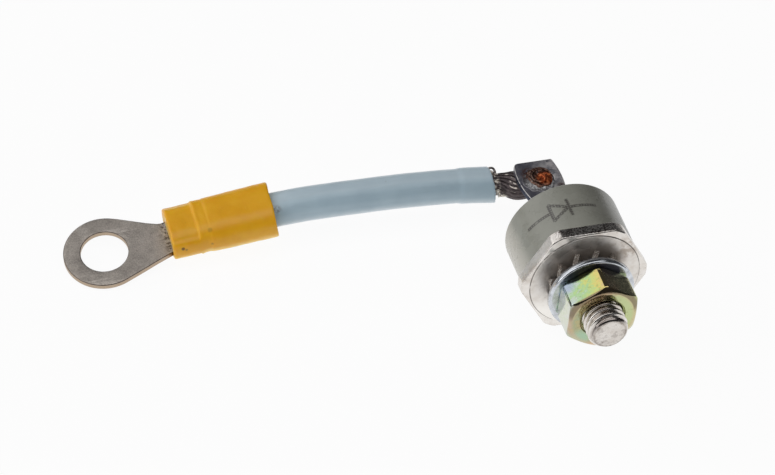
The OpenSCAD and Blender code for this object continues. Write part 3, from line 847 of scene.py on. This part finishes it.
barrel_grid = [
    np.array([lug_at(s, q - dq * inset, barrel_rise + n - dn * inset) for q, n, dq, dn in racetrack(6.0, 4.15)])
    for s, inset in ((11.0, 0.25), (11.1, 0.06), (11.25, 0.0), (17.2, 0.0), (17.3, 0.1))
]
barrel_mouth = grid_piece("barrel_mouth", [barrel_mouth_grid(), barrel_grid], tin)

# %% [markdown]
# ## The crimp sleeve
# A tube of yellow plastic that the crimping tool pressed into a flat oval. The tool left a sunken patch with a
# ridge beside it near the ring, above and below, and the plastic is slightly wavy. The end at the ring closes down on
# the tongue, and the wide end is pushed back a little on the side that the tool met. The walls are thick enough to
# see at both ends, so the grid runs along the outside, over the rim and back along the inside.


# %% Crimp sleeve
def sleeve_finish():
    f = Finish("yellow_sleeve")
    tone = f.cloud(3.0)
    f.colour = f.blend(tone.step(0.3, 0.7), srgb(234, 168, 12), srgb(240, 178, 20))
    pale = f.cloud(0.8, 3.0, 0.6).step(0.60, 0.75)
    f.tint(pale * 0.25, 240, 190, 80)
    specks = f.cells(1.7).step(0.13, 0.07) * f.cloud(3.1, 1.0).step(0.60, 0.63)
    specks += f.near((-52.89, 22.79, -4.18), 0.16, 0.36) + 0.6 * f.near((-52.39, 22.75, -4.43), 0.1, 0.3)
    specks += 0.5 * f.near((-48.62, 22.75, -4.0), 0.1, 0.32) + 0.4 * f.near((-48.76, 23.75, -2.1), 0.15, 0.5)
    f.tint(specks * 0.8, 70, 46, 20)
    lit_edges = 0.9 * f.facing(lug_up).step(0.10, -0.45) + 0.4 * f.facing((0, 1, 0.2)).step(0.5, 0.9)
    f.tint(lit_edges, 255, 214, 108)
    f.bump(f.cloud(0.25), 0.012)
    f.bump(f.cloud(1.6, 2.0), 0.06)
    return f.surface(
        Roughness=0.34 + 0.14 * tone, Specular_IOR_Level=0.5,
        Subsurface_Weight=0.25, Subsurface_Scale=0.0008, Subsurface_Radius=(1.0, 0.55, 0.12),
    )


def hump(x, middle, width):
    return math.exp(-(((x - middle) / width) ** 2))


def sleeve_grid():
    start, stop, wide, tall, wall = tongue_l - 0.28, tongue_l + sleeve_l, 8.3, 5.7, 0.75
    outside = racetrack(wide, tall)
    inside = racetrack(wide - 2 * wall, tall - 2 * wall)
    mouth = [(q, n - 0.75, dq, dn) for q, n, dq, dn in racetrack(5.7, 1.6)]

    def ring_at(s, inset, section):
        ring = []
        for q, n, dq, dn in section:
            push = -inset
            if section is outside:
                patch = 1 - smooth(s, 13.35, 13.65)
                ridge, groove, pinch = hump(s, 13.8, 0.2), hump(s, 15.2, 0.15), hump(s, 14.6, 0.8)
                far_side = smooth(q, -3.5, -3.2) if dn > 0 else 1.0
                push -= 0.28 * patch * far_side * smooth(abs(dn), 0.3, 0.6)
                push += 0.03 * ridge * far_side * smooth(abs(dn), 0.2, 0.5)
                push += 0.06 * smooth(s, 15.0, 15.3) - 0.06
                push -= 0.03 * groove * smooth(dn, 0.2, 0.5) + 0.12 * pinch * smooth(-q, 2.5, 3.8)
                push += 0.06 * wobble(s * 0.33, q * 0.35, n * 0.35 + 2) + 0.03 * wobble(s * 1.1, q * 0.8, n + 5)
            flare = 0.08 + 0.30 * smooth(s, 12.0, 25.5)
            back = 0.34 * smooth(s, stop - 3.0, stop) * max(0.0, 0.67 * dn - 0.74 * dq)
            ring.append(lug_at(s - back, q + dq * push + flare * smooth(q, 1.0, 4.1), barrel_rise + n + dn * push))
        return np.array(ring)

    runs = np.concatenate([np.linspace(start + 0.3, 15.6, 60), np.linspace(15.9, stop - 0.3, 26)])
    grid = [ring_at(start + 0.03, 0.16, outside), ring_at(start + 0.12, 0.04, outside)]
    grid += [ring_at(s, 0.0, outside) for s in runs]
    grid += [ring_at(stop - 0.12, 0.04, outside), ring_at(stop - 0.03, 0.16, outside)]
    grid += [ring_at(stop, -0.14, inside), ring_at(stop - 0.12, 0.0, inside)]
    grid += [ring_at(start + 1.2, 0.0, inside), ring_at(start + 0.9, 0.0, mouth), ring_at(start + 0.02, 0.0, mouth)]
    return grid


sleeve = grid_piece("sleeve", [sleeve_grid()], sleeve_finish(), ["crimp_sleeve"], wrap=True)

# %% [markdown]
# ## The base
# The base is a hexagon bar, turned at both ends and plated with nickel. Turning took the points off the hexagon, so
# each corner has a narrow round facet, and it left a raised round seat with faint rings on it. The outline of a
# turned hexagon is the smaller of the flat's distance and the turning radius at each angle. Extra columns stand on
# both sides of each facet, so that its edges stay crisp. The seat carries painted light and shade: a darker fan above
# the washer, a lighter lower half, and behind the lock washer's teeth a brownish patch, less of a metal, that stands
# in for light bounced off the washer.


# %% Base
def nickel_finish():
    f = Finish("bright_nickel")
    x, y, z = f.axes()
    radius = (x * x + z * z).root()
    rings = (radius * 21.0).sine()
    seat = y.step(0.25, 0.05) * radius.step(3.2, 3.3)
    flats = radius.step(8.2, 8.35) * y.step(0.18, 0.3)
    tone, speckle = f.cloud(1.8, 4.0, 0.6), f.cloud(0.26, 4.0, 0.7)
    f.colour = f.ramp(tone, (0.3, (206, 198, 190)), (0.5, (226, 221, 215)), (0.7, (236, 232, 228)))
    end = y.step(-11.25, -11.38)
    stains_and_rim_shade = 0.35 * f.cloud(0.7, 4.0, 0.65).step(0.58, 0.72)
    stains_and_rim_shade += 0.4 * end * f.cloud(0.9, 5.0, 0.6).step(0.46, 0.62)
    # On the stud's end: a slight darkening all over and a darker ring near the rim, which is painted shade; the rest
    # are stains and scuffs.
    stains_and_rim_shade += 0.12 * end + 0.35 * end * (radius + 0.5 * f.cloud(0.8)).step(2.3, 2.55)
    f.tint(stains_and_rim_shade, 128, 117, 108)
    # Painted shade: the dark speckles on the hexagon's flats are real mottling, and they are made much stronger on the
    # top flat, which faces up.
    top = f.facing((0, 0, 1)).step(0.8, 0.95)
    f.tint(flats * speckle.step(0.56, 0.40) * (0.12 + 0.88 * top), 90, 80, 76)
    brown = f.near((5.6, 0.0, 4.6), 0.6, 3.2) * f.cloud(1.2, 4.0, 0.6).step(0.38, 0.62)
    f.tint(brown * 0.6, 140, 118, 98)
    # Painted shade: the thread's grooves are darkened.
    groove = radius.step(2.85, 2.55) * y.step(-6.0, -6.5) * y.step(-11.2, -11.0)
    f.tint(groove * 0.25, 112, 92, 78)
    # Painted shade and painted light on the seat: a darker fan above the washer, and a lighter lower half.
    fan = seat * abs(z.angle_to(x) - 0.95).step(0.5, 0.2) * radius.step(7.5, 6.5)
    f.tint(0.4 * fan, 152, 145, 136)
    f.tint(0.8 * seat * z.step(-1.0, -5.0), 252, 249, 244)
    # Painted light: behind the lock washer's teeth the seat takes a brownish colour and is made less of a metal,
    # standing in for light bounced off the washer into the gap.
    painted_bounce_light = seat * radius.step(7.0, 5.4) * (z - 0.2 * x).step(1.0, 3.5)
    f.tint(0.7 * painted_bounce_light, 134, 120, 107)
    # Painted shade: the stud's upper side and the upper left of its end taper are darkened.
    shade = y.step(-10.9, -9.6) * radius.step(3.2, 3.1) * f.facing((0.3, -0.2, 0.93)).step(0.45, 0.85)
    taper = y.step(-10.7, -10.9) * y.step(-11.36, -11.28) * f.facing((-0.3, 0, 0.95)).step(-0.1, 0.5)
    f.tint(0.6 * shade + 0.75 * taper, 92, 80, 76)
    f.bump(rings * seat, 0.0012)
    f.bump(f.cloud(0.35, 4.0, 0.6), 0.006)
    f.bump(speckle * flats, 0.02)
    edge = abs(radius - 8.13).step(0.09, 0.03) * y.step(0.3, 0.2) * f.cloud(1.5).step(0.3, 0.45)
    f.tint(edge * 0.8, 66, 58, 52)
    return f.surface(Metallic=1.0 - 0.7 * painted_bounce_light, Roughness=0.13 + 0.14 * tone + 0.22 * seat + 0.10 * flats)


def hexagon_columns(half_width, corner_r, turned_by=0.0):
    """Angles round a hexagon with cut corners, and the outline's radius at each."""
    edge = math.degrees(math.acos(half_width / corner_r))
    facet = (30 + edge) / 2
    span = [-30, -facet, -edge - 0.7, -edge + 0.7, -19, -12, -4, 4, 12, 19, edge - 0.7, edge + 0.7, facet]
    offsets = np.radians(np.tile(span, 6))
    angles = np.radians(np.repeat(30 + 60 * np.arange(6) + turned_by, len(span))) + offsets
    return angles, np.minimum(half_width / np.cos(offsets), corner_r)


nickel = nickel_finish()
hex_angles, hex_r = hexagon_columns(8.5, 9.344)
base_rows = [
    (0.01, 2.0), (5.0, 2.0), (hex_r - 0.13, 2.0), (hex_r - 0.04, 1.97), (hex_r, 1.88), (hex_r, 0.38),
    (hex_r - 0.06, 0.22), (hex_r - 0.20, 0.15), (8.16, 0.15), (8.11, 0.12), (8.09, 0.05), (8.02, 0.0), (3.3, 0.0),
    (2.6, -0.05), (0.01, -0.05),
]
grid_piece("base", [turned_grid(base_rows, hex_angles)], nickel, ["base_stud"])

# %% [markdown]
# ## The stud's thread
# The thread is one ridge that winds round the stud, one millimetre further for each turn. Whether a point lies on
# the crest or in the groove depends only on how far along and how far round it is, so the stud is again a grid,
# with the radius worked out at each point. The end was turned to a taper that cuts the last turns off.


# %% Threaded stud
def stud_grid():
    angles = around(120)
    pitch, root_r, crest, end_y, end_r, taper = 1.0, 2.42, 0.55, -11.4, 2.49, 0.6
    rows = [(2.4, 0.0), (2.4, -6.4)]
    for y in np.arange(-6.5, end_y + 0.1, -pitch / 18):
        phase = np.mod(-y / pitch - angles / (2 * math.pi), 1.0)
        ridge = smooth(np.abs(phase - 0.5) * 2, 0.18, 0.86)
        worn = 0.05 * wobble(2.2 * np.cos(angles), y * 2.5, 2.2 * np.sin(angles))
        rows.append((np.minimum(root_r + crest * ridge + worn * ridge, end_r + (y - end_y) * taper), y))
    rows += [(2.46, end_y + 0.10), (2.40, end_y + 0.03), (2.28, end_y), (1.4, end_y), (0.01, end_y)]
    return turned_grid(rows, angles)


grid_piece("stud", [stud_grid()], nickel, ["base_stud"])

# %% [markdown]
# ## Washers
# The plain washer is stamped and zinc plated: a flat ring, rolled over at the edge that the punch met first. A dark
# band on the upper part of its front face is a painted reflection. The toothed lock washer keeps its CAD mesh, because
# its twisted teeth are already the real shape. Its zinc is painted dark all over, as painted shade, with painted
# highlights as bright flecks at the tips of the teeth.


# %% Washers
def zinc_finish():
    f = Finish("bright_zinc")
    x, y, z = f.axes()
    tone = f.cloud(1.1, 4.0, 0.6)
    f.colour = f.ramp(tone, (0.3, (168, 170, 174)), (0.5, (202, 206, 212)), (0.75, (228, 232, 238)))
    # Painted reflection: a dark navy band on the upper part of the washer's front face, which is also made rougher.
    painted_dark_reflection = (z + 0.5 * x).step(0.2, 2.6) * (x * x + z * z).step(37.6, 34.0) * y.step(-3.2, -3.27)
    painted_dark_reflection *= (x + 0.8 * (f.cloud(0.7) - 0.5)).step(4.1, 3.5)
    f.tint(0.92 * painted_dark_reflection, 46, 46, 66)
    f.bump(f.cloud(0.25, 4.0, 0.6), 0.005)
    return f.surface(Metallic=1.0, Roughness=0.10 + 0.2 * tone + 0.3 * painted_dark_reflection)


washer_rows = [
    (3.25, -2.4), (3.33, -2.3), (6.12, -2.3), (6.24, -2.33), (6.3, -2.43), (6.3, -3.08), (6.25, -3.2), (6.13, -3.28),
    (5.95, -3.3), (3.4, -3.3), (3.25, -3.15),
]
washer_grid = turned_grid(washer_rows, around(96))
grid_piece("washer", [washer_grid], zinc_finish(), ["plain_washer"], wrap=True)


def shaded_zinc_finish():
    """Dark zinc, as painted shade, with painted highlights as bright flecks at the teeth's tips."""
    f = Finish("shaded_zinc")
    x, _, z = f.axes()
    # Painted highlights: bright flecks near the outer ends of the teeth.
    painted_tip_glints = (x * x + z * z).step(25.0, 29.0) * f.cloud(0.24).step(0.52, 0.60)
    tone = f.cloud(0.5, 4.0, 0.6)
    # Painted shade: the lock washer is coloured dark all over.
    f.colour = f.ramp(tone, (0.3, (92, 84, 78)), (0.7, (140, 130, 121)))
    f.tint(painted_tip_glints, 224, 220, 214)
    f.bump(f.cloud(0.2), 0.02)
    return f.surface(Metallic=0.3 + 0.7 * painted_tip_glints, Roughness=0.22 + 0.2 * tone)


dress("lock_washer", shaded_zinc_finish())
print("lock washer: CAD mesh, worn zinc")

# %% [markdown]
# ## The nut
# A hexagon nut with both faces chamfered. The chamfer is a cone, and where it cuts the flats it leaves the curved
# line that every nut shows, so the rows of this grid follow that curve: the chamfer's depth at an angle comes
# from the outline's radius there. The yellow chromate film is thin enough to shimmer green, blue and pink.


# %% Nut
def chromate_finish():
    f = Finish("yellow_chromate")
    x, y, z = f.axes()
    radius = (x * x + z * z).root()
    face = y.step(-7.6, -8.1)
    drift = 0.5 + 0.10 * (x + 1.7) + 0.7 * (f.cloud(1.8, 4.0, 0.6, warp=0.4) - 0.5)
    drift += 0.14 * face + 0.45 * (f.cloud(0.42, 3.0, 0.6) - 0.5)
    f.colour = f.ramp(
        drift, (0.0, (192, 204, 214)), (0.22, (194, 206, 188)), (0.36, (170, 204, 150)),
        (0.50, (198, 208, 130)), (0.64, (218, 200, 122)), (0.78, (206, 184, 140)), (0.95, (190, 200, 150)),
    )
    dull = f.cloud(0.6, 4.0, 0.6).step(0.52, 0.7)
    f.tint(dull * 0.25, 120, 104, 62)
    f.tint(face * x.step(3.5, -3.0) * 0.6, 160, 142, 132)
    f.tint(0.45 * f.facing((0.53, 0, 0.848)).step(0.9, 0.98), 204, 184, 164)
    f.tint(face * f.near((-3.0, -8.2, -3.2), 0.6, 2.4) * 0.6, 160, 206, 184)
    f.tint(0.5 * f.facing((-1, 0, 0.035)).step(0.9, 0.98), 226, 222, 206)
    f.tint(0.6 * f.near((-4.2, -4.4, 3.2), 0.4, 1.7), 160, 172, 206)
    f.tint(face * radius.step(4.1, 4.8) * 0.45, 216, 178, 150)
    # Painted shade: the upper part of the front chamfer is darkened.
    rim = radius.step(4.50, 4.68) * y.step(-7.65, -7.95) * z.step(0.0, 1.5)
    f.tint(rim * 0.65, 96, 84, 72)
    f.bump(f.cloud(0.3, 4.0, 0.6), 0.005)
    return f.surface(Metallic=1.0, Roughness=0.10 + 0.08 * dull)


nut_angles, nut_r = hexagon_columns(5.0, 5.62, 28.0)
back_y, front_y, face_r, slope = -3.3, -8.2, 4.75, math.tan(math.radians(30))
front_edge, back_edge = front_y + (nut_r - face_r) * slope, back_y - (nut_r - face_r) * slope
nut_rows = [
    (2.95, back_y), (4.6, back_y), (face_r, back_y - 0.03), (nut_r - 0.10, back_edge + 0.06),
    (nut_r - 0.02, back_edge - 0.03), (nut_r, back_edge - 0.14), (nut_r, (front_y + back_y) / 2),
    (nut_r, front_edge + 0.14), (nut_r - 0.02, front_edge + 0.03), (nut_r - 0.10, front_edge - 0.06),
    (face_r, front_y + 0.03), (4.6, front_y), (3.46, front_y), (3.34, front_y + 0.04), (3.02, front_y + 0.32),
    (2.95, front_y + 0.5),
]
nut_grid = turned_grid(nut_rows, nut_angles)
grid_piece("nut_body", [nut_grid], chromate_finish(), ["nut"], wrap=True)

# %% [markdown]
# ## The case
# The case keeps its CAD mesh: a moulded drum with a slight draft and a rounded far edge. Its greenish grey resin is
# faintly cloudy, with a satin skin and a fine grain. A plain diode sign is printed on it in dots, as ink-jet marks are.
# It is worked out from the distance along the case and the distance round it.


# %% Case
def case_finish():
    f = Finish("moulded_resin")
    x, y, z = f.axes()
    tone, grain = f.cloud(2.6), f.cloud(0.14, 2.0)
    f.colour = f.blend(tone.step(0.3, 0.7), srgb(138, 138, 129), srgb(146, 146, 137))
    f.tint(grain.step(0.6, 0.8) * 0.3, 126, 126, 116)
    # Painted light and painted shade: the lower left side is lightened and the right side is darkened.
    f.tint(0.45 * f.facing((-1, 0, -0.3)).step(0.72, 1.0), 206, 200, 188)
    f.tint(0.7 * f.facing((0.9, 0, 0.44)).step(0.45, 0.85), 112, 111, 103)
    case_r, sign_angle, sign_y, half_line, half_width, half_height, dot = 8.46, 1.86, 6.4, 0.27, 1.3, 1.75, 0.4
    u, v = case_r * (sign_angle - z.angle_to(x)), y - sign_y
    slope = abs(abs(v) - 0.62 * (half_width - u)) < 0.32
    triangle = slope * (abs(u) < half_width) + (abs(u + half_width) < half_line) * (abs(v) < half_height)
    bar = (abs(u - 1.4) < half_line) * (abs(v) < half_height)
    wire = (abs(v) < half_line) * (abs(abs(u) - 3.4) < 2.1)
    across, down = (u / dot).fraction() - 0.5, (v / dot).fraction() - 0.5
    dots = (across * across + down * down).step(0.42, 0.16) * f.cloud(0.5).step(0.25, 0.45)
    ink = (triangle + bar + wire > 0.5) * dots
    f.tint(ink * 0.9, 76, 73, 70)
    f.bump(grain, 0.006)
    f.bump(f.cloud(1.2, 2.0), 0.02)
    return f.surface(Roughness=0.22 + 0.12 * tone)


dress("case", case_finish())
print("case: CAD mesh, moulded resin with a diode sign")

# %% [markdown]
# ## The stack inside the case
# The die, its copper disc and the solder between them are closed in, and nobody sees them in use. They keep their
# CAD meshes, and each takes a plain finish of the right metal, so that the part can be opened up in a drawing.


# %% Inner pieces
def inner_finish(name, light, dark, metallic, roughness):
    f = Finish(name)
    tone = f.cloud(0.8)
    f.colour = f.blend(tone.step(0.3, 0.7), srgb(*dark), srgb(*light))
    f.bump(f.cloud(0.2), 0.01)
    return f.surface(Metallic=metallic, Roughness=roughness + 0.15 * tone)


inner_solder = inner_finish("die_solder", (180, 180, 182), (140, 140, 142), 0.9, 0.35)
inner_finishes = {
    "die_solder": inner_solder, "contact_solder": inner_solder, "foot_solder": inner_solder,
    "silicon_die": inner_finish("lapped_silicon", (92, 92, 100), (70, 70, 78), 0.6, 0.2),
    "contact_disc": inner_finish("copper_disc", (200, 120, 84), (176, 98, 66), 1.0, 0.3),
    "junction_coat": inner_finish("silicone_coat", (236, 236, 230), (224, 224, 216), 0.0, 0.5),
}
for node_name, material in inner_finishes.items():
    dress(node_name, material)
print("inner pieces:", ", ".join(inner_finishes))

# %% [markdown]
# ## The part's size
# The lead is flexible, and runs from the cut insulation at the tab to the ring terminal that ends it. The last cell
# prints the dressed part's box beside the CAD box.

# %% Sizes
look_box = [list(corner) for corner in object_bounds()]
for name, box in (("CAD box", cad_box), ("look box", look_box)):
    print(name, np.round(np.array(box) / MM, 2).tolist())
